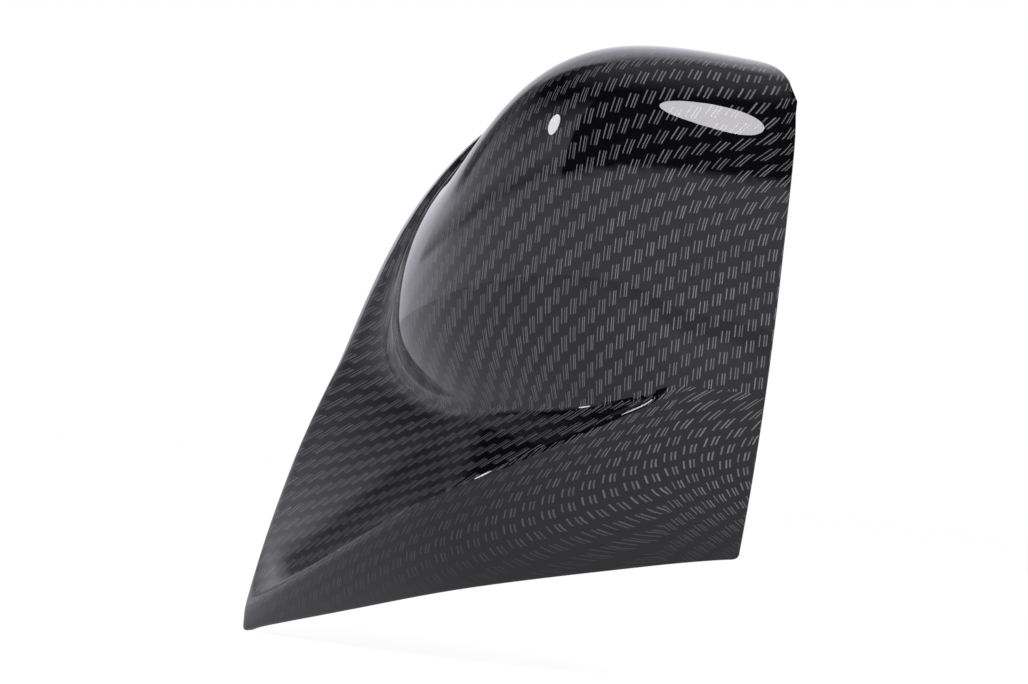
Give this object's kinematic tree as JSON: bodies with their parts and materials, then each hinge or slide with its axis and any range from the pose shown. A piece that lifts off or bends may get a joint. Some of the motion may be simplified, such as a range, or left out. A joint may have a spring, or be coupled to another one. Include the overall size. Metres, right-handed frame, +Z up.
{
  "type": "wing mirror cover",
  "caption": "Glossy black wing mirror cover with a woven carbon print: a hollow dome with a sharp lower crease and an inboard horn, open at the rear and below.",
  "frame": {"origin": "rear rim plane, on the upright line midway through the dome's plan, at the height of the rim's lower outboard corner", "axes": "+X outboard, away from the car; +Y rearward, out of the rear rim; +Z up as fitted"},
  "size_m": [0.1344, 0.0776, 0.1635],
  "materials": {
    "carbon_gloss": "gloss"
  },
  "bodies": {
    "root": {"mirror_cover": "carbon_gloss"}
  },
  "joints": []
}
